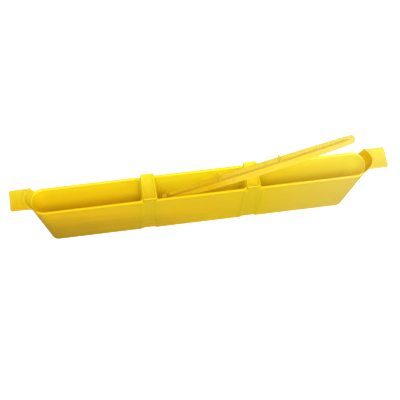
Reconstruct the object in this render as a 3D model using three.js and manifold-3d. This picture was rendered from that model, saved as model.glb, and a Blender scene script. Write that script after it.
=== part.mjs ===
// Long three-bay trough with raised hanging lugs, two raised bridges between
// the bays, and a loose ribbed strip with three pegs that lies across the
// right bridge with its low end in the middle bay.
// Millimetres, +Z up, X along the trough, origin under the middle of the base.
import * as THREE from 'three';
import * as BufferGeometryUtils from 'three/addons/utils/BufferGeometryUtils.js';
import Module from 'manifold-3d';

const wasm = await Module();
wasm.setup();

// ---- driving dimensions -------------------------------------------------
const LENGTH = 482;            // over the two lugs
const RIM_W = 37;              // outside width at the rim
const RIM_Z = 95;              // rim height above the base
const RIM_HALF = 217;          // half length of the rim
const SIDE_DRAFT = 9.5;        // each long side leans in by this at the base
const END_DRAFT = 22;          // each end leans in by this at the base
const NECK_DRAFT = 3;          // bay ends next to a bridge lean in by this
const WALL = 2.4;
const FLOOR = 2.4;
const GAP = 0.3;

const BRIDGE_X = 66.5;         // bridge centres
const NECK_HALF = 6.6;         // bridge centre to the bay end wall, at the rim
const BRIDGE_HALF = 8.6;       // half width of the bridge's top block
const BRIDGE_Z = 101.5;        // top of the bridge's raised border
const TRAY_DEPTH = 2;          // recess inside the border
const BORDER = 1.7;
const WEB_INSET = 1.6;         // side webs stand back from the bay sides
const WEB_T = 2.2;

const END_R = [8.8, 17.4];     // plan corner radius of the trough's ends: base, rim
const NECK_R_A = [4.5, 7];     // plan corner radius of a bay's +X end at a bridge: base, rim
const NECK_R_B = [2.6, 3.2];   // plan corner radius of a bay's -X end at a bridge: base, rim
const FOOT_R = 2.6;            // rounding between sides and base

const LUG_Z = 106.5;           // top of the lug plates
const LUG_T = 2.4;
const LUG_HALF_W = 14.5;
const LUG_RAMP_OUT = 5.4;      // how far the ramp runs outwards
const LUG_SAG = 8.0;           // bow of the ramp's top edge in plan

const STRIP_AT = [-36.2, -7.3, 81.2];   // reference point of the strip's top face
const STRIP_TILT = 13.25;      // degrees up to the right
const STRIP_TURN = 5.1;        // degrees towards the far side
const STRIP_S = [-14, 243];    // ends, along the strip from the reference point
const STRIP_BOW = [3.2, 110, 125];      // both ends bend up: rise, lowest point, half span
const STRIP_W = [10.8, 17.0, 12.4];     // width near the low end, middle, high end
const STRIP_T = 1.4;
const RIB_W = 1.5;
const RIB_H = 3.2;
const RIB_S = [-8, 235.5];
const PEG_S = [-4.1, 63.8, 144.5];
const PEG_H = 24;
const PEG_D = 2.2;

// ---- helpers ------------------------------------------------------------
function toGeometry(rings, flip = false) {
  // closed body through rings of equal count, a flat cap on the first and last
  const n = rings[0].length;
  const v = [];
  const idx = [];
  for (const r of rings) for (const p of r) v.push(p[0], p[1], p[2]);
  const tri = (a, b, c) => (flip ? idx.push(a, c, b) : idx.push(a, b, c));
  for (let k = 0; k + 1 < rings.length; k++) {
    for (let i = 0; i < n; i++) {
      const j = (i + 1) % n;
      const a = k * n + i, b = k * n + j, c = (k + 1) * n + j, d = (k + 1) * n + i;
      tri(a, b, c);
      tri(a, c, d);
    }
  }
  for (const [k, dir] of [[0, -1], [rings.length - 1, 1]]) {
    const m = [0, 0, 0];
    for (const p of rings[k]) for (let q = 0; q < 3; q++) m[q] += p[q] / n;
    const c = v.length / 3;
    v.push(...m);
    for (let i = 0; i < n; i++) {
      const j = (i + 1) % n;
      if (dir < 0) tri(c, k * n + j, k * n + i);
      else tri(c, k * n + i, k * n + j);
    }
  }
  const g = new THREE.BufferGeometry();
  g.setAttribute('position', new THREE.Float32BufferAttribute(v, 3));
  g.setIndex(idx);
  g.computeVertexNormals();
  return g;
}

function toSolid(geometry) {
  let g = geometry.clone();
  g.deleteAttribute('normal');
  g.deleteAttribute('uv');
  if (g.index === null) g = BufferGeometryUtils.mergeVertices(g, 1e-5);
  else g = BufferGeometryUtils.mergeVertices(g, 1e-5);
  return new wasm.Manifold(new wasm.Mesh({
    numProp: 3,
    vertProperties: new Float32Array(g.attributes.position.array),
    triVerts: new Uint32Array(g.index.array),
  }));
}

function fromSolid(solid) {
  const m = solid.getMesh();
  const g = new THREE.BufferGeometry();
  const p = [];
  for (let i = 0; i < m.vertProperties.length; i += m.numProp) {
    p.push(m.vertProperties[i], m.vertProperties[i + 1], m.vertProperties[i + 2]);
  }
  g.setAttribute('position', new THREE.Float32BufferAttribute(p, 3));
  g.setIndex(Array.from(m.triVerts));
  g.computeVertexNormals();
  return g;
}

function box(x0, x1, y0, y1, z0, z1) {
  const g = new THREE.BoxGeometry(x1 - x0, y1 - y0, z1 - z0);
  g.translate((x0 + x1) / 2, (y0 + y1) / 2, (z0 + z1) / 2);
  return g;
}

const mix = (a, b, t) => a + (b - a) * t;

// rounded rectangle at height z, corner radii rl on the -X side and rr on the +X side
function outline(x0, x1, hy, rl, rr, z, seg = 5) {
  const pts = [];
  const corner = (cx, cy, r, a0) => {
    for (let k = 0; k <= seg; k++) {
      const a = (a0 + (90 * k) / seg) * Math.PI / 180;
      pts.push([cx + r * Math.cos(a), cy + r * Math.sin(a), z]);
    }
  };
  corner(x1 - rr, hy - rr, rr, 0);
  corner(x0 + rl, hy - rl, rl, 90);
  corner(x0 + rl, -hy + rl, rl, 180);
  corner(x1 - rr, -hy + rr, rr, 270);
  return pts;
}

const halfWidth = (z) => RIM_W / 2 - SIDE_DRAFT * (1 - z / RIM_Z);

function tub(ends) {
  // ends = [[x at rim, draft, [r base, r rim]], [...]] for the -X and +X end
  const ring = (z, inset) => {
    const t = z / RIM_Z;
    const x0 = ends[0][0] + ends[0][1] * (1 - t) + inset;
    const x1 = ends[1][0] - ends[1][1] * (1 - t) - inset;
    const rl = Math.max(mix(ends[0][2][0], ends[0][2][1], t) - inset, 1.2);
    const rr = Math.max(mix(ends[1][2][0], ends[1][2][1], t) - inset, 1.2);
    const hy = halfWidth(z) - inset;
    return outline(x0, x1, hy, Math.min(rl, hy - 0.2), Math.min(rr, hy - 0.2), z);
  };
  const rings = [];
  // outside, from the base up, with a rounded foot
  for (const a of [0, 30, 60, 90]) {
    const c = a * Math.PI / 180;
    rings.push(ring(FOOT_R * (1 - Math.cos(c)), FOOT_R * (1 - Math.sin(c))));
  }
  rings.push(ring(RIM_Z * 0.5, 0));
  rings.push(ring(RIM_Z - 0.6, 0));
  rings.push(ring(RIM_Z, 0.6));
  // inside, back down to the floor
  rings.push(ring(RIM_Z, WALL - 0.6));
  rings.push(ring(RIM_Z - 0.6, WALL));
  rings.push(ring(RIM_Z * 0.5, WALL));
  rings.push(ring(FLOOR + 2.2, WALL));
  rings.push(ring(FLOOR + 0.5, WALL + 0.6));
  rings.push(ring(FLOOR, WALL + 2.2));
  return toGeometry(rings);
}

// ---- trough -------------------------------------------------------------
const endL = [-RIM_HALF, END_DRAFT, END_R];
const endR = [RIM_HALF, END_DRAFT, END_R];
const neckA = (x) => [x, NECK_DRAFT, NECK_R_A];
const neckB = (x) => [x, NECK_DRAFT, NECK_R_B];
const tubs = {
  tub_left: tub([endL, neckA(-BRIDGE_X - NECK_HALF)]),
  tub_middle: tub([neckB(-BRIDGE_X + NECK_HALF), neckA(BRIDGE_X - NECK_HALF)]),
  tub_right: tub([neckB(BRIDGE_X + NECK_HALF), endR]),
};

function bridge(cx) {
  const z0 = RIM_Z + GAP;
  const h = RIM_W / 2;
  // top block with softened upper edges
  const slab = (z, inset) => outline(cx - BRIDGE_HALF + inset, cx + BRIDGE_HALF - inset, h - inset, 1.2, 1.2, z, 2);
  let s = toSolid(toGeometry([slab(z0, 0), slab(BRIDGE_Z - 0.8, 0), slab(BRIDGE_Z, 0.5)]));
  s = s.subtract(toSolid(box(
    cx - BRIDGE_HALF + BORDER, cx + BRIDGE_HALF - BORDER,
    -h + BORDER, h - BORDER, BRIDGE_Z - TRAY_DEPTH, BRIDGE_Z + 5)));
  // side webs between the bay ends
  const web = (side) => {
    const section = (z) => {
      const hx = NECK_HALF - GAP + NECK_DRAFT * (1 - z / RIM_Z);
      const yo = halfWidth(z) - WEB_INSET;
      const yi = yo - WEB_T;
      const a = Math.min(side * yo, side * yi), b = Math.max(side * yo, side * yi);
      return [[cx - hx, a, z], [cx + hx, a, z], [cx + hx, b, z], [cx - hx, b, z]];
    };
    return toSolid(toGeometry([section(1.2), section(RIM_Z + 1)]));
  };
  return fromSolid(s.add(web(-1)).add(web(1)));
}

// Each lug is a sloped riser, bowed in plan like the rim's end that it stands
// on, and a flat plate that sticks out from the riser's top edge.
function lug(sign, piece) {
  const steps = 10;
  const rings = [];
  const r = LUG_HALF_W;
  for (let k = 0; k <= steps; k++) {
    const y = mix(-r, r, k / steps);
    const u = (y / r) ** 2;
    const cr = END_R[1], cy = RIM_W / 2 - cr;
    const rim = RIM_HALF - cr + Math.sqrt(cr * cr - Math.max(0, Math.abs(y) - cy) ** 2);
    const xb = rim - WALL - 0.1;
    const xt = RIM_HALF + LUG_RAMP_OUT - LUG_SAG * u;
    const xe = LENGTH / 2 - (k === 0 || k === steps ? 2 : 0);
    const s = piece === 'riser'
      ? [[xb, RIM_Z + GAP], [xb + WALL, RIM_Z + GAP],
        [xt + 1.9, LUG_Z - LUG_T], [xt + 1.9, LUG_Z], [xt, LUG_Z]]
      : [[xt + 1.9 + GAP, LUG_Z - LUG_T], [xe, LUG_Z - LUG_T],
        [xe, LUG_Z], [xt + 1.9 + GAP, LUG_Z]];
    rings.push(s.map(([x, z]) => [sign * x, y, z]));
  }
  return toGeometry(rings, sign > 0);
}

// ---- loose strip --------------------------------------------------------
// strip frame: s along it, w across it (towards the far side), n off its top face
const tilt = STRIP_TILT * Math.PI / 180, turn = STRIP_TURN * Math.PI / 180;
const S = new THREE.Vector3(Math.cos(tilt) * Math.cos(turn), Math.cos(tilt) * Math.sin(turn), Math.sin(tilt));
const Wd = new THREE.Vector3(-Math.sin(turn), Math.cos(turn), 0);
const N = new THREE.Vector3().crossVectors(S, Wd);
const stripFrame = new THREE.Matrix4().makeBasis(S, Wd, N).setPosition(...STRIP_AT);

function stripHalf(s) {
  const t = (s - STRIP_S[0]) / (STRIP_S[1] - STRIP_S[0]);
  const ends = mix(STRIP_W[0], STRIP_W[2], t);
  return (ends + (STRIP_W[1] - (STRIP_W[0] + STRIP_W[2]) / 2) * (1 - (2 * t - 1) ** 2)) / 2;
}

// rise of the bent centre line over the straight one
const bow = (s) => STRIP_BOW[0] * ((s - STRIP_BOW[1]) / STRIP_BOW[2]) ** 2;

function bend(g) {
  const p = g.attributes.position;
  for (let i = 0; i < p.count; i++) p.setZ(i, p.getZ(i) + bow(p.getX(i)));
  return g;
}

function blade() {
  // cross sections along the strip, closing on a half circle at each end
  const [a, b] = STRIP_S;
  const rows = [];
  const ra = stripHalf(a + 6), rb = stripHalf(b - 6);
  for (const q of [8, 25, 45, 65]) {
    const c = q * Math.PI / 180;
    rows.push([a + ra * (1 - Math.cos(c)), ra * Math.sin(c)]);
  }
  for (let s = 5; s < 232; s += 25) rows.push([s, stripHalf(s)]);
  for (const q of [65, 45, 25, 8]) {
    const c = q * Math.PI / 180;
    rows.push([b - rb * (1 - Math.cos(c)), rb * Math.sin(c)]);
  }
  return bend(toGeometry(rows.map(([s, h]) => [
    [s, -h, -STRIP_T], [s, h, -STRIP_T], [s, h, 0], [s, -h, 0],
  ])));
}

function dropAttributes(g) {
  g.deleteAttribute('normal');
  g.deleteAttribute('uv');
  return g;
}

function rib() {
  // stiffening rib on the centre line, its ends sloped down to the blade
  const ring = (s, n1) => [
    [s, -RIB_W / 2, GAP], [s, RIB_W / 2, GAP], [s, RIB_W / 2, n1], [s, -RIB_W / 2, n1],
  ];
  const rings = [ring(RIB_S[0], 0.9), ring(RIB_S[0] + 3, RIB_H)];
  for (let s = 20; s < 220; s += 25) rings.push(ring(s, RIB_H));
  rings.push(ring(RIB_S[1] - 8, RIB_H), ring(RIB_S[1], 0.9));
  return bend(toGeometry(rings));
}

function peg(s) {
  const r = PEG_D / 2;
  const foot = RIB_H + GAP;
  const prof = [[0, foot], [r, foot], [r * 0.72, PEG_H - 0.6], [r * 0.42, PEG_H], [0, PEG_H]];
  const g = new THREE.LatheGeometry(prof.map((p) => new THREE.Vector2(p[0], p[1])), 12);
  g.rotateX(Math.PI / 2);                 // the pegs stand off the top face
  g.translate(s, 0, bow(s));
  return BufferGeometryUtils.mergeVertices(dropAttributes(g), 1e-4);
}

// ---- scene graph --------------------------------------------------------
const yellow = () => new THREE.MeshStandardMaterial({ color: 0xe6c419, roughness: 0.42, metalness: 0 });
const clear = () => new THREE.MeshStandardMaterial({ color: 0xf1de79, roughness: 0.35, metalness: 0 });

const part = new THREE.Group();
const put = (name, geometry, material, matrix) => {
  const mesh = new THREE.Mesh(geometry, material);
  mesh.name = name;
  if (matrix) {
    mesh.applyMatrix4(matrix);
  }
  part.add(mesh);
};

for (const [name, g] of Object.entries(tubs)) put(name, g, yellow());
put('bridge_left', bridge(-BRIDGE_X), yellow());
put('bridge_right', bridge(BRIDGE_X), yellow());
for (const [side, sign] of [['left', -1], ['right', 1]]) {
  put(`lug_riser_${side}`, lug(sign, 'riser'), yellow());
  put(`lug_plate_${side}`, lug(sign, 'plate'), yellow());
}

put('strip_blade', blade(), clear(), stripFrame);
put('strip_rib', rib(), clear(), stripFrame);
put('strip_peg_low', peg(PEG_S[0]), clear(), stripFrame);
put('strip_peg_middle', peg(PEG_S[1]), clear(), stripFrame);
put('strip_peg_high', peg(PEG_S[2]), clear(), stripFrame);

export default part;
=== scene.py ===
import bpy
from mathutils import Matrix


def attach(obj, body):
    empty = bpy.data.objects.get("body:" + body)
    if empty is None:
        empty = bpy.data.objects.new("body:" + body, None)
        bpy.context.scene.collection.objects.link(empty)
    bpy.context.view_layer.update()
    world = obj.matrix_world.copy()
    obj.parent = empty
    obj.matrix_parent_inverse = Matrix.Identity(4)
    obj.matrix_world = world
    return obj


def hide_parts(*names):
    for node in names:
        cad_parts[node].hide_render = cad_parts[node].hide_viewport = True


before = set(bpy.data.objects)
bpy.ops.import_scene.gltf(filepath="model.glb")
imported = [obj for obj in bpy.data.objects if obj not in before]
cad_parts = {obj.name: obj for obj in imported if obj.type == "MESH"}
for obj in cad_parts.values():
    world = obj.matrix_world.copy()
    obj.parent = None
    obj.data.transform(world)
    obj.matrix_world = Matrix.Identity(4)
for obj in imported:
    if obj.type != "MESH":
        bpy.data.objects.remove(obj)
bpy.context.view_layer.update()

import math
import numpy as np
import bpy
from mathutils import Matrix, Vector

# ------------------------------------------------------------------ camera
# fitted to the outline of the trough; millimetres and unit vectors
CAM_AT = np.array([-160.2335, -754.8297, 1508.7590]) * 0.001
CAM_R = Vector((0.988134, -0.150330, 0.031512))
CAM_U = Vector((0.118534, 0.876814, 0.465990))
CAM_B = Vector((-0.097682, -0.456725, 0.884229))
cam_data = bpy.data.cameras.new("camera")
cam_data.sensor_width = 36.0
cam_data.lens = 113.8186
cam_data.clip_start = 0.05
cam_data.clip_end = 20.0
camera = bpy.data.objects.new("camera", cam_data)
bpy.context.scene.collection.objects.link(camera)
m = Matrix.Identity(4)
for row in range(3):
    m[row][0] = CAM_R[row]
    m[row][1] = CAM_U[row]
    m[row][2] = CAM_B[row]
    m[row][3] = float(CAM_AT[row])
camera.matrix_world = m
bpy.context.scene.camera = camera
bpy.context.scene.view_settings.view_transform = "Standard"

# ------------------------------------------------------- solid modelling
# Every shell is a signed distance in millimetres, meshed by surface nets on a
# grid that is fine only where the shape needs it, then pulled onto the surface.


def rmax(a, b, r):
    """intersection with a round edge of radius r"""
    return np.minimum(np.maximum(a, b), -r) + np.hypot(np.maximum(a + r, 0), np.maximum(b + r, 0))


def rmin(a, b, r):
    """union with a round fillet of radius r"""
    return -rmax(-a, -b, r)


def rrect(px, py, hx, hy, r):
    qx = np.abs(px) - hx + r
    qy = np.abs(py) - hy + r
    return np.hypot(np.maximum(qx, 0), np.maximum(qy, 0)) + np.minimum(np.maximum(qx, qy), 0) - r


def axis(*spans):
    """grid lines through (start, end, step) spans laid end to end"""
    out = [spans[0][0]]
    for a, b, st in spans:
        n = max(1, int(round((b - a) / st)))
        out += [a + (b - a) * (k + 1) / n for k in range(n)]
    return np.array(out)


def surface_net(f, xs, ys, zs, pull=4):
    X, Y, Z = np.meshgrid(xs, ys, zs, indexing="ij")
    V = f(X, Y, Z)
    inside = V < 0
    nx, ny, nz = V.shape
    acc = np.zeros((nx - 1, ny - 1, nz - 1, 3))
    cnt = np.zeros((nx - 1, ny - 1, nz - 1))
    P = np.stack([X, Y, Z], -1)
    for ax in range(3):
        for da in (0, 1):
            for db in (0, 1):
                lo = [slice(0, -1)] * 3
                hi = [slice(0, -1)] * 3
                o = [q for q in range(3) if q != ax]
                hi[ax] = slice(1, None)
                for q, dq in zip(o, (da, db)):
                    if dq:
                        lo[q] = slice(1, None)
                        hi[q] = slice(1, None)
                lo, hi = tuple(lo), tuple(hi)
                cross = inside[lo] != inside[hi]
                va, vb = V[lo], V[hi]
                t = np.where(cross, va / np.where(cross, va - vb, 1), 0)
                pt = P[lo] + (P[hi] - P[lo]) * t[..., None]
                acc += np.where(cross[..., None], pt, 0)
                cnt += cross
    live = cnt > 0
    idx = -np.ones(live.shape, dtype=np.int64)
    idx[live] = np.arange(int(live.sum()))
    verts = acc[live] / cnt[live][:, None]
    quads = []
    for ax in range(3):
        o = [q for q in range(3) if q != ax]
        sl = [slice(None)] * 3
        a = [slice(1, -1)] * 3
        b = [slice(1, -1)] * 3
        a[ax] = slice(0, -1)
        b[ax] = slice(1, None)
        ia, ib = inside[tuple(a)], inside[tuple(b)]
        w = np.argwhere(ia != ib)
        if len(w) == 0:
            continue
        flip = ia[tuple(w.T)]
        base = w.copy()
        for q in o:
            base[:, q] += 1
        def cell(d0, d1):
            c = base.copy()
            c[:, o[0]] -= d0
            c[:, o[1]] -= d1
            return idx[tuple(c.T)]
        q4 = np.stack([cell(1, 1), cell(0, 1), cell(0, 0), cell(1, 0)], 1)
        if ax == 1:
            flip = ~flip
        q4[~flip] = q4[~flip][:, ::-1]
        quads.append(q4)
    quads = np.concatenate(quads)
    n = verts
    for _ in range(pull):
        g, v = gradient(f, verts)
        step = v[:, None] * g / np.maximum((g * g).sum(1), 1e-6)[:, None]
        ln = np.linalg.norm(step, axis=1)
        step *= np.minimum(1, 0.5 / np.maximum(ln, 1e-9))[:, None]
        verts = verts - step
    g, _ = gradient(f, verts)
    n = g / np.maximum(np.linalg.norm(g, axis=1), 1e-9)[:, None]
    return verts, quads, n


def gradient(f, p, h=0.02):
    g = np.zeros_like(p)
    for k in range(3):
        d = np.zeros(3)
        d[k] = h
        a = p + d
        b = p - d
        g[:, k] = (f(a[:, 0], a[:, 1], a[:, 2]) - f(b[:, 0], b[:, 1], b[:, 2])) / (2 * h)
    return g, f(p[:, 0], p[:, 1], p[:, 2])


def to_object(name, verts, faces, normals=None, matrix=None):
    v = np.asarray(verts, float)
    if matrix is not None:
        v = v @ matrix[:3, :3].T + matrix[:3, 3]
        if normals is not None:
            normals = normals @ matrix[:3, :3].T
    mesh = bpy.data.meshes.new(name)
    mesh.from_pydata((v * 0.001).tolist(), [], np.asarray(faces).tolist())
    mesh.validate()
    mesh.update()
    mesh.polygons.foreach_set("use_smooth", [True] * len(mesh.polygons))
    if normals is not None and len(mesh.vertices) == len(normals):
        mesh.normals_split_custom_set_from_vertices(normals.tolist())
    ob = bpy.data.objects.new(name, mesh)
    bpy.context.scene.collection.objects.link(ob)
    return ob


# ------------------------------------------------------------- dimensions
LENGTH = 482.0
RIM_W, RIM_Z, RIM_HALF = 37.0, 95.0, 217.0
SIDE_DRAFT, END_DRAFT, NECK_DRAFT = 9.5, 22.0, 3.0
WALL, BEAD, FLOOR = 2.2, 3.1, 2.4
BRIDGE_X, NECK_HALF, BRIDGE_HALF, BRIDGE_Z = 66.5, 6.6, 8.6, 101.5
TRAY, BORDER, WEB_T = 3.2, 1.6, 2.2
END_R = (8.8, 17.4)
NECK_R_A = (4.5, 7.0)
NECK_R_B = (2.6, 3.2)
LUG_Z, LUG_T, LUG_HALF_W, RAMP_OUT, LUG_SAG = 106.5, 2.4, 14.5, 5.4, 8.0


def half_width(z):
    return RIM_W / 2 - SIDE_DRAFT * (1 - z / RIM_Z)


def tub_body(e0, d0, r0, e1, d1, r1):
    """outer envelope of one bay: rim x of each end, its draft, (base, rim) corner radii"""
    def f(x, y, z):
        t = 1 - z / RIM_Z
        x0 = e0 + d0 * t
        x1 = e1 - d1 * t
        cx, hx = (x0 + x1) / 2, (x1 - x0) / 2
        hy = half_width(z)
        r = np.where(x < cx, r0[1] + (r0[0] - r0[1]) * t, r1[1] + (r1[0] - r1[1]) * t)
        return rmax(rrect(x - cx, y, hx, hy, np.minimum(r, hy - 0.1)), -z, 3.2)
    return f


def tub_sdf(e0, d0, r0, e1, d1, r1):
    envelope = tub_body(e0, d0, r0, e1, d1, r1)

    def f(x, y, z):
        t = 1 - z / RIM_Z
        x0 = e0 + d0 * t
        x1 = e1 - d1 * t
        cx, hx = (x0 + x1) / 2, (x1 - x0) / 2
        hy = half_width(z)
        r = np.where(x < cx, r0[1] + (r0[0] - r0[1]) * t, r1[1] + (r1[0] - r1[1]) * t)
        body = envelope(x, y, z)
        # the wall is thicker in a bead that runs round the rim
        w = WALL + (BEAD - WALL) * np.clip((z - (RIM_Z - 4.2)) / 1.5, 0, 1) ** 1.5
        ri = np.minimum(np.maximum(r - w, 1.4), hy - w - 0.1)
        hollow = rrect(x - cx, y, hx - w, hy - w, ri)
        hollow = rmax(hollow, FLOOR - z, 3.5)
        s = rmax(body, -hollow, 0.2)
        return rmax_top(s, z)
    return f


def rmax_top(s, z):
    return rmax(s, z - RIM_Z, 0.95)


def net_tub(name, e0, d0, r0, e1, d1, r1):
    f = tub_sdf(e0, d0, r0, e1, d1, r1)
    lo, hi = e0 - 1.5, e1 + 1.5
    la = 36 if d0 > 10 else 13
    lb = 36 if d1 > 10 else 13
    xs = axis((lo, lo + la, 0.95), (lo + la, hi - lb, 3.6), (hi - lb, hi, 0.95))
    ys = axis((-19.6, 19.6, 0.62))
    zs = axis((-1.2, 8.4, 0.8), (8.4, 86.4, 2.6), (86.4, 96.2, 0.49))
    v, q, n = surface_net(f, xs, ys, zs)
    return to_object(name, v, q, n)


def bridge_sdf(cx0, left, right):
    """top block with its tray, and the side webs, blended into the two bays' corners"""
    left, right = tub_body(*left), tub_body(*right)

    def f(xg, y, z):
        x = xg - cx0
        t = 1 - z / RIM_Z
        bays = np.minimum(left(xg, y, np.minimum(z, RIM_Z)), right(xg, y, np.minimum(z, RIM_Z)))
        h = half_width(np.minimum(z, RIM_Z))
        side = rrect(x, y, BRIDGE_HALF, h, 1.5)
        block = rmax(rmax(side, z - BRIDGE_Z, 0.9), (RIM_Z - 0.9) - z, 0.3)
        tray = rmax(rrect(x, y, BRIDGE_HALF - BORDER, RIM_W / 2 - BORDER, 1.2),
                    (BRIDGE_Z - TRAY) - z, 0.8)
        block = rmax(block, -tray, 0.5)
        # skirt: the block's ends run down a little over the bays' rims
        skirt = np.maximum(np.maximum(side, (RIM_Z - 4.4) - z), np.maximum(z - RIM_Z, (h - 2.4) - np.abs(y)))
        # webs, nearly flush at the top and set back at the foot
        hx = NECK_HALF + NECK_DRAFT * t
        yo = half_width(z) - (0.35 + 1.1 * t * t)
        web = np.maximum(np.abs(y) - yo, (yo - WEB_T) - np.abs(y))
        # the fillet onto the bays fades out along them
        fade = np.clip(np.minimum(x + hx + 7.2, hx + 5.4 - x) / 5.5, 0, 1)
        web = rmin(web, bays, 0.02 + 3.6 * fade * fade * (3 - 2 * fade))
        web = np.maximum(web, np.maximum(-(x + hx + 7.2), x - hx - 5.4))
        web = rmax(rmax(web, 1.3 - z, 0.8), z - (RIM_Z - 3.6), 0.9)
        low = np.maximum(np.minimum(skirt, web), -(bays + 0.9)) + 0.03
        return rmin(block, low, 0.5)
    return f


def net_bridge(name, cx0, left, right):
    xs = axis((cx0 - 17.2, cx0 + 15.6, 0.5))
    ys = axis((-19.6, 19.6, 0.5))
    zs = axis((0.2, 4.2, 0.8), (4.2, 86.6, 2.9), (86.6, 102.6, 0.46))
    v, q, n = surface_net(bridge_sdf(cx0, left, right), xs, ys, zs)
    return to_object(name, v, q, n)


def lug_sdf(sign):
    def f(x, y, z):
        x = x * sign
        u = np.clip(np.abs(y) / LUG_HALF_W, 0, 1.2) ** 2
        cr = END_R[1]
        cy = RIM_W / 2 - cr
        dy = np.clip(np.abs(y) - cy, 0, cr * 0.995)
        rim = RIM_HALF - cr + np.sqrt(cr * cr - dy * dy)
        xt = RIM_HALF + RAMP_OUT - LUG_SAG * u
        s = np.clip((z - RIM_Z) / (LUG_Z - RIM_Z), -0.2, 1.3)
        # the riser's inner face, a gentle S from the rim up to the plate
        face = (rim - 2.5) + (xt - (rim - 2.5)) * s
        slope = (xt - rim + 2.5) / (LUG_Z - RIM_Z)
        k = 1 / np.sqrt(1 + slope * slope)
        inner = (face - x) * k
        outer = (x - face - 2.5) * k
        w = LUG_HALF_W + 0.3 * np.clip(1 - s, 0, 1)
        riser = rmax(inner, outer, 0.2)
        riser = rmax(riser, np.abs(y) - w, 0.7)
        riser = rmax(riser, (RIM_Z + 0.25) - z, 0.2)
        riser = np.maximum(riser, z - LUG_Z)
        # the plate
        px = (x - (LENGTH / 2 - 20))
        plate2 = rrect(px, y, 20.0, LUG_HALF_W, 2.6)
        plate = rmax(rmax(plate2, z - LUG_Z, 0.6), (LUG_Z - LUG_T) - z, 0.6)
        plate = rmax(plate, (xt + 0.4 - x) * 0.95, 0.3)
        return rmin(riser, plate, 1.6)
    return f


def net_lug(name, sign):
    xa, xb = 202.6, 242.2
    xs = axis((xa, xb, 0.52))
    if sign < 0:
        xs = -xs[::-1]
    ys = axis((-16.2, 16.2, 0.55))
    zs = axis((94.4, 107.6, 0.42))
    v, q, n = surface_net(lug_sdf(sign), xs, ys, zs)
    return to_object(name, v, q, n)


# --------------------------------------------------------------- the strip
STRIP_AT = np.array([-36.2, -7.3, 81.2])
TILT, TURN = math.radians(13.25), math.radians(5.1)
S_ = np.array([math.cos(TILT) * math.cos(TURN), math.cos(TILT) * math.sin(TURN), math.sin(TILT)])
W_ = np.array([-math.sin(TURN), math.cos(TURN), 0.0])
N_ = np.cross(S_, W_)
STRIP_M = np.eye(4)
STRIP_M[:3, 0], STRIP_M[:3, 1], STRIP_M[:3, 2], STRIP_M[:3, 3] = S_, W_, N_, STRIP_AT
S0, S1 = -14.0, 243.0
STRIP_BOW = (3.2, 110.0, 125.0)
STRIP_W = (10.8, 17.0, 12.4)
STRIP_T = 1.4
RIB_W, RIB_H = 1.5, 3.2
RIB_S = (-8.0, 235.5)
PEG_S = (-4.1, 63.8, 144.5)
PEG_H, PEG_D = 24.0, 2.2


def bow(s):
    """rise of the bent centre line over the straight one"""
    return STRIP_BOW[0] * ((s - STRIP_BOW[1]) / STRIP_BOW[2]) ** 2


def bend(v, n):
    v, n = v.copy(), n.copy()
    v[:, 2] += bow(v[:, 0])
    n[:, 0] -= n[:, 2] * STRIP_BOW[0] * 2 * (v[:, 0] - STRIP_BOW[1]) / STRIP_BOW[2] ** 2
    return v, n / np.linalg.norm(n, axis=1)[:, None]


def strip_half(s):
    t = np.clip((s - S0) / (S1 - S0), 0, 1)
    ends = STRIP_W[0] + (STRIP_W[2] - STRIP_W[0]) * t
    return (ends + (STRIP_W[1] - (STRIP_W[0] + STRIP_W[2]) / 2) * (1 - (2 * t - 1) ** 2)) / 2


def blade_sdf(s, w, n):
    h = strip_half(s)
    mid, half = (S0 + S1) / 2, (S1 - S0) / 2
    flat = rrect(s - mid, w, half, h, h - 0.02)
    return rmax(rmax(flat, n, 0.4), -STRIP_T - n, 0.4)


def net_blade():
    xs = axis((S0 - 1, S0 + 9, 0.6), (S0 + 9, S1 - 9, 3.0), (S1 - 9, S1 + 1, 0.6))
    v, q, n = surface_net(blade_sdf, xs, axis((-9.6, 9.6, 0.48)), axis((-1.9, 0.5, 0.24)))
    v, n = bend(v, n)
    return to_object("strip_blade_moulded", v, q, n, STRIP_M)


def rib_sdf(s, w, n):
    top = np.minimum(RIB_H, 0.7 + np.minimum((s - RIB_S[0]) * 0.85, (RIB_S[1] - s) * 0.32))
    d = rmax(np.abs(w) - (RIB_W / 2 + 0.22 * (1 - np.clip(n / RIB_H, 0, 1))), n - top, 0.45)
    d = rmax(d, 0.06 - n, 0.05)
    return rmax(rmax(d, RIB_S[0] - s, 0.3), s - RIB_S[1], 0.3)


def net_rib():
    a, b = RIB_S
    xs = axis((a - 0.8, a + 5, 0.45), (a + 5, b - 11, 3.0), (b - 11, b + 0.8, 0.45))
    v, q, n = surface_net(rib_sdf, xs, axis((-1.5, 1.5, 0.2)), axis((-0.3, 3.7, 0.25)))
    v, n = bend(v, n)
    return to_object("strip_rib_moulded", v, q, n, STRIP_M)


def peg_sdf(s0):
    def f(s, w, n):
        r = PEG_D / 2 * (1 - 0.30 * np.clip((n - RIB_H) / (PEG_H - RIB_H), 0, 1))
        d = np.hypot(s - s0, w) - r
        return rmax(rmax(d, n - PEG_H, 0.55), (RIB_H + 0.06) - n, 0.1)
    return f


def net_peg(name, s0):
    v, q, n = surface_net(peg_sdf(s0), axis((s0 - 1.6, s0 + 1.6, 0.2)), axis((-1.6, 1.6, 0.2)),
                          axis((2.9, 22.1, 0.7), (22.1, 24.4, 0.21)))
    v[:, 2] += bow(s0)
    return to_object(name, v, q, n, STRIP_M)


# --------------------------------------------------------------- materials
def node(nt, kind, **kw):
    n = nt.nodes.new(kind)
    for k, v in kw.items():
        setattr(n, k, v)
    return n


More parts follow.
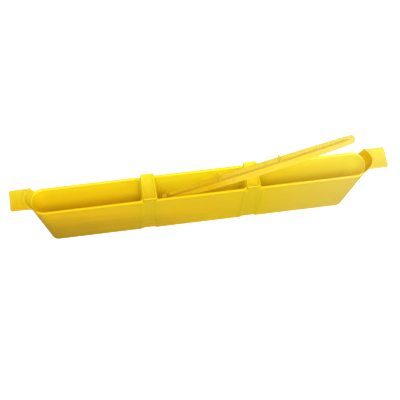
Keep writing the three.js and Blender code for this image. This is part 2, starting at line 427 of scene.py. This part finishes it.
def plastic(name, shaded_low_left, lit_high_right, stops, vary, sss, radius, scale, rough, spec, grain=1.0,
            runs=((0.0, 0.45), (0.0, 0.0), (0.0, 0.55)), between=None, painted_sheen=0.0):
    """Moulded plastic. The colour runs from a deep tone at the foot, the near side
    and the -X end to a paler one at the rim, the far side and the +X end: painted
    shade and painted light for how the light falls, with mottling, flow marks and a fine satin texture over it."""
    mat = bpy.data.materials.new(name)
    mat.use_nodes = True
    nt = mat.node_tree
    bsdf = nt.nodes["Principled BSDF"]
    L = nt.links.new
    tc = node(nt, "ShaderNodeTexCoord")
    sep = node(nt, "ShaderNodeSeparateXYZ")
    L(tc.outputs["Object"], sep.inputs["Vector"])

    def span(socket, lo, hi, a, b):
        mr = node(nt, "ShaderNodeMapRange")
        mr.inputs["From Min"].default_value = lo
        mr.inputs["From Max"].default_value = hi
        mr.inputs["To Min"].default_value = a
        mr.inputs["To Max"].default_value = b
        L(socket, mr.inputs["Value"])
        return mr.outputs["Result"]

    def add(a, b):
        m = node(nt, "ShaderNodeMath", operation="ADD")
        L(a, m.inputs[0])
        L(b, m.inputs[1])
        return m.outputs["Value"]

    mott = node(nt, "ShaderNodeTexNoise")
    mott.inputs["Scale"].default_value = 11.0
    mott.inputs["Detail"].default_value = 4.0
    L(tc.outputs["Object"], mott.inputs["Vector"])
    # flow marks run along the length of the moulding
    stretch = node(nt, "ShaderNodeMapping")
    stretch.inputs["Scale"].default_value = (5.0, 60.0, 95.0)
    L(tc.outputs["Object"], stretch.inputs["Vector"])
    flow = node(nt, "ShaderNodeTexNoise")
    flow.inputs["Scale"].default_value = 1.0
    flow.inputs["Detail"].default_value = 3.0
    L(stretch.outputs["Vector"], flow.inputs["Vector"])
    # painted shade and painted light: deeper towards the foot, the -X end and the near side, paler towards the
    # rim, the +X end and the far side
    t = add(span(sep.outputs["X"], -0.22, 0.24, *runs[0]), span(sep.outputs["Z"], 0.0, 0.10, *runs[2]))
    if runs[1][0] != runs[1][1]:
        t = add(t, span(sep.outputs["Y"], -0.013, 0.013, *runs[1]))
    t = add(t, span(mott.outputs["Fac"], 0.3, 0.7, -vary, vary))
    t = add(t, span(flow.outputs["Fac"], 0.3, 0.7, -vary * 0.7, vary * 0.7))
    ramp = node(nt, "ShaderNodeValToRGB")
    ramp.color_ramp.elements[0].position = stops[0]
    ramp.color_ramp.elements[0].color = (*shaded_low_left, 1)
    ramp.color_ramp.elements[1].position = stops[1]
    ramp.color_ramp.elements[1].color = (*lit_high_right, 1)
    if between:
        e = ramp.color_ramp.elements.new(between[0])
        e.color = (*between[1], 1)
    L(t, ramp.inputs["Fac"])
    colour = ramp.outputs["Color"]
    if painted_sheen:
        # painted sheen: a pale cast towards the +X end
        sheen_mix = node(nt, "ShaderNodeMixRGB")
        L(span(sep.outputs["X"], 0.08, 0.20, 0.0, painted_sheen), sheen_mix.inputs["Fac"])
        L(colour, sheen_mix.inputs["Color1"])
        sheen_mix.inputs["Color2"].default_value = (0.97, 0.92, 0.78, 1)
        colour = sheen_mix.outputs["Color"]
    L(colour, bsdf.inputs["Base Color"])
    # gloss and surface
    fine = node(nt, "ShaderNodeTexNoise")
    fine.inputs["Scale"].default_value = 900.0
    fine.inputs["Detail"].default_value = 3.0
    L(tc.outputs["Object"], fine.inputs["Vector"])
    wave = node(nt, "ShaderNodeTexNoise")
    wave.inputs["Scale"].default_value = 55.0
    wave.inputs["Detail"].default_value = 2.0
    L(tc.outputs["Object"], wave.inputs["Vector"])
    L(span(wave.outputs["Fac"], 0.25, 0.75, rough - 0.08, rough + 0.10), bsdf.inputs["Roughness"])
    b1 = node(nt, "ShaderNodeBump")
    b1.inputs["Strength"].default_value = 0.12 * grain
    b1.inputs["Distance"].default_value = 0.0002
    L(fine.outputs["Fac"], b1.inputs["Height"])
    b2 = node(nt, "ShaderNodeBump")
    b2.inputs["Strength"].default_value = 0.14 * grain
    b2.inputs["Distance"].default_value = 0.0006
    L(wave.outputs["Fac"], b2.inputs["Height"])
    L(b1.outputs["Normal"], b2.inputs["Normal"])
    L(b2.outputs["Normal"], bsdf.inputs["Normal"])
    bsdf.inputs["Specular IOR Level"].default_value = spec
    bsdf.inputs["IOR"].default_value = 1.49
    bsdf.inputs["Subsurface Weight"].default_value = sss
    bsdf.inputs["Subsurface Radius"].default_value = radius
    bsdf.inputs["Subsurface Scale"].default_value = scale
    return mat


# painted shade and painted light: deep orange at the foot, the near side and the -X end, pale at the rim, the far
# side and the +X end
YELLOW = plastic("yellow_moulded", (0.33, 0.185, 0.0002), (0.990, 0.855, 0.016), (0.02, 1.0), 0.03,
                 sss=0.8, radius=(1.0, 0.8, 0.1), scale=0.003, rough=0.44, spec=0.08,
                 runs=((0.0, 0.35), (0.0, 0.45), (0.0, 0.25)), between=(0.26, (0.945, 0.580, 0.0005)), painted_sheen=0.11)
# painted shade: a darker copy of the yellow for the bridge trays and the lugs, the parts that face up into the
# key light
TOP_PAINTED_SHADE = plastic("yellow_top_painted_shade", (0.42, 0.235, 0.0002), (0.905, 0.775, 0.026), (0.02, 1.0), 0.03,
              sss=0.8, radius=(1.0, 0.8, 0.1), scale=0.003, rough=0.44, spec=0.08,
              runs=((0.0, 0.35), (0.0, 0.45), (0.0, 0.25)), between=(0.26, (0.71, 0.455, 0.003)), painted_sheen=0.09)
# painted shade: a darker, more orange copy of the yellow for the right lug's riser
RISER_PAINTED_SHADE = plastic("yellow_riser_painted_shade", (0.60, 0.330, 0.0002), (0.790, 0.490, 0.004), (0.02, 1.0), 0.03,
               sss=0.8, radius=(1.0, 0.8, 0.1), scale=0.003, rough=0.46, spec=0.06,
               runs=((0.0, 0.35), (0.0, 0.45), (0.0, 0.25)))
# painted light: the strip runs from deep yellow at its low end to pale at its +X end, standing in for the light
# that comes through it from the bay and from the floor
PALE = plastic("pale_strip", (0.70, 0.46, 0.001), (0.83, 0.71, 0.235), (0.745, 1.0), 0.02,
               sss=0.6, radius=(1.0, 0.95, 0.6), scale=0.002, rough=0.36, spec=0.12, grain=0.7,
               between=(0.87, (0.83, 0.665, 0.050)))
# painted light: the rib runs from deep to pale along the strip, as the blade does
PALE_RIB = plastic("pale_strip_rib", (0.56, 0.35, 0.001), (0.70, 0.53, 0.070), (0.745, 1.0), 0.02,
                   sss=0.4, radius=(1.0, 0.9, 0.5), scale=0.001, rough=0.36, spec=0.2, grain=0.7)

# ------------------------------------------------------------------ pieces
pieces = []


def place(ob, mat, body, slot, *nodes):
    ob.data.materials.clear()
    ob.data.materials.append(mat)
    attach(ob, body)
    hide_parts(*nodes)
    pieces.append(ob)
    return ob


BAY_L = (-RIM_HALF, END_DRAFT, END_R, -BRIDGE_X - NECK_HALF, NECK_DRAFT, NECK_R_A)
BAY_M = (-BRIDGE_X + NECK_HALF, NECK_DRAFT, NECK_R_B, BRIDGE_X - NECK_HALF, NECK_DRAFT, NECK_R_A)
BAY_R = (BRIDGE_X + NECK_HALF, NECK_DRAFT, NECK_R_B, RIM_HALF, END_DRAFT, END_R)
place(net_tub("tub_left_moulded", *BAY_L), YELLOW, "trough", "trough_plastic", "tub_left")
place(net_tub("tub_middle_moulded", *BAY_M), YELLOW, "trough", "trough_plastic", "tub_middle")
place(net_tub("tub_right_moulded", *BAY_R), YELLOW, "trough", "trough_plastic", "tub_right")
for side, cx, pair in (("left", -BRIDGE_X, (BAY_L, BAY_M)), ("right", BRIDGE_X, (BAY_M, BAY_R))):
    ob = place(net_bridge("bridge_%s_moulded" % side, cx, *pair),
               YELLOW, "trough", "trough_plastic", "bridge_" + side)
    # painted shade: the tray and the block's upper sides take the darker copy of the yellow, so the ridges stay
    # lighter
    ob.data.materials.append(TOP_PAINTED_SHADE)
    for poly in ob.data.polygons:
        z = poly.center.z * 1000
        poly.material_index = int(RIM_Z + 0.4 < z < BRIDGE_Z - 1.1)
# painted shade: both lugs take the darker copy of the yellow
place(net_lug("lug_left_moulded", -1), TOP_PAINTED_SHADE, "trough", "trough_plastic", "lug_riser_left", "lug_plate_left")
lug_right = place(net_lug("lug_right_moulded", 1), TOP_PAINTED_SHADE, "trough", "trough_plastic",
                  "lug_riser_right", "lug_plate_right")
# painted shade: the riser under the right plate takes a darker copy of the yellow
lug_right.data.materials.append(RISER_PAINTED_SHADE)
for poly in lug_right.data.polygons:
    c = poly.center * 1000
    edge = RIM_HALF + RAMP_OUT - LUG_SAG * min(1.0, abs(c.y) / LUG_HALF_W) ** 2
    poly.material_index = int(c.x < edge + 0.2)
# the strip is thin and see-through enough to throw no shadow worth the name
place(net_blade(), PALE, "strip", "strip_plastic", "strip_blade").visible_shadow = False
place(net_rib(), PALE_RIB, "strip", "strip_plastic", "strip_rib").visible_shadow = False
for nm, s0 in (("low", PEG_S[0]), ("middle", PEG_S[1]), ("high", PEG_S[2])):
    place(net_peg("strip_peg_%s_moulded" % nm, s0), PALE, "strip", "strip_plastic", "strip_peg_" + nm)

# ------------------------------------------------------------ floor, light
mesh = bpy.data.meshes.new("floor")
mesh.from_pydata([(-4, -4, 0), (4, -4, 0), (4, 4, 0), (-4, 4, 0)], [], [(0, 1, 2, 3)])
floor = bpy.data.objects.new("floor", mesh)
bpy.context.scene.collection.objects.link(floor)
fm = bpy.data.materials.new("floor")
fm.use_nodes = True
fb = fm.node_tree.nodes["Principled BSDF"]
fb.inputs["Base Color"].default_value = (0.95, 0.95, 0.95, 1)
fb.inputs["Roughness"].default_value = 0.8
fb.inputs["Specular IOR Level"].default_value = 0.1
fb.inputs["Emission Color"].default_value = (1, 1, 1, 1)
fb.inputs["Emission Strength"].default_value = 0.45
floor.data.materials.append(fm)
# the floor shows and takes shadows, but throws no light back on the object
floor.visible_diffuse = False
floor.visible_glossy = False

world = bpy.data.worlds.new("world")
bpy.context.scene.world = world
world.use_nodes = True
world.node_tree.nodes["Background"].inputs["Color"].default_value = (1, 1, 1, 1)
world.node_tree.nodes["Background"].inputs["Strength"].default_value = 0.33


def area(name, at, target, size, power):
    d = bpy.data.lights.new(name, "AREA")
    d.shape = "RECTANGLE"
    d.size, d.size_y = size
    d.energy = power
    ob = bpy.data.objects.new(name, d)
    ob.location = at
    v = Vector(target) - Vector(at)
    ob.rotation_euler = v.to_track_quat("-Z", "Y").to_euler()
    bpy.context.scene.collection.objects.link(ob)
    return ob


area("key", (-0.10, -0.95, 1.75), (0, 0, 0.05), (1.2, 1.0), 34)
area("front", (0.9, -1.4, 0.6), (0, 0, 0.05), (0.9, 0.9), 7)
area("back", (-0.6, 1.3, 1.2), (0, 0, 0.05), (0.9, 0.9), 2.5)

bpy.context.view_layer.update()
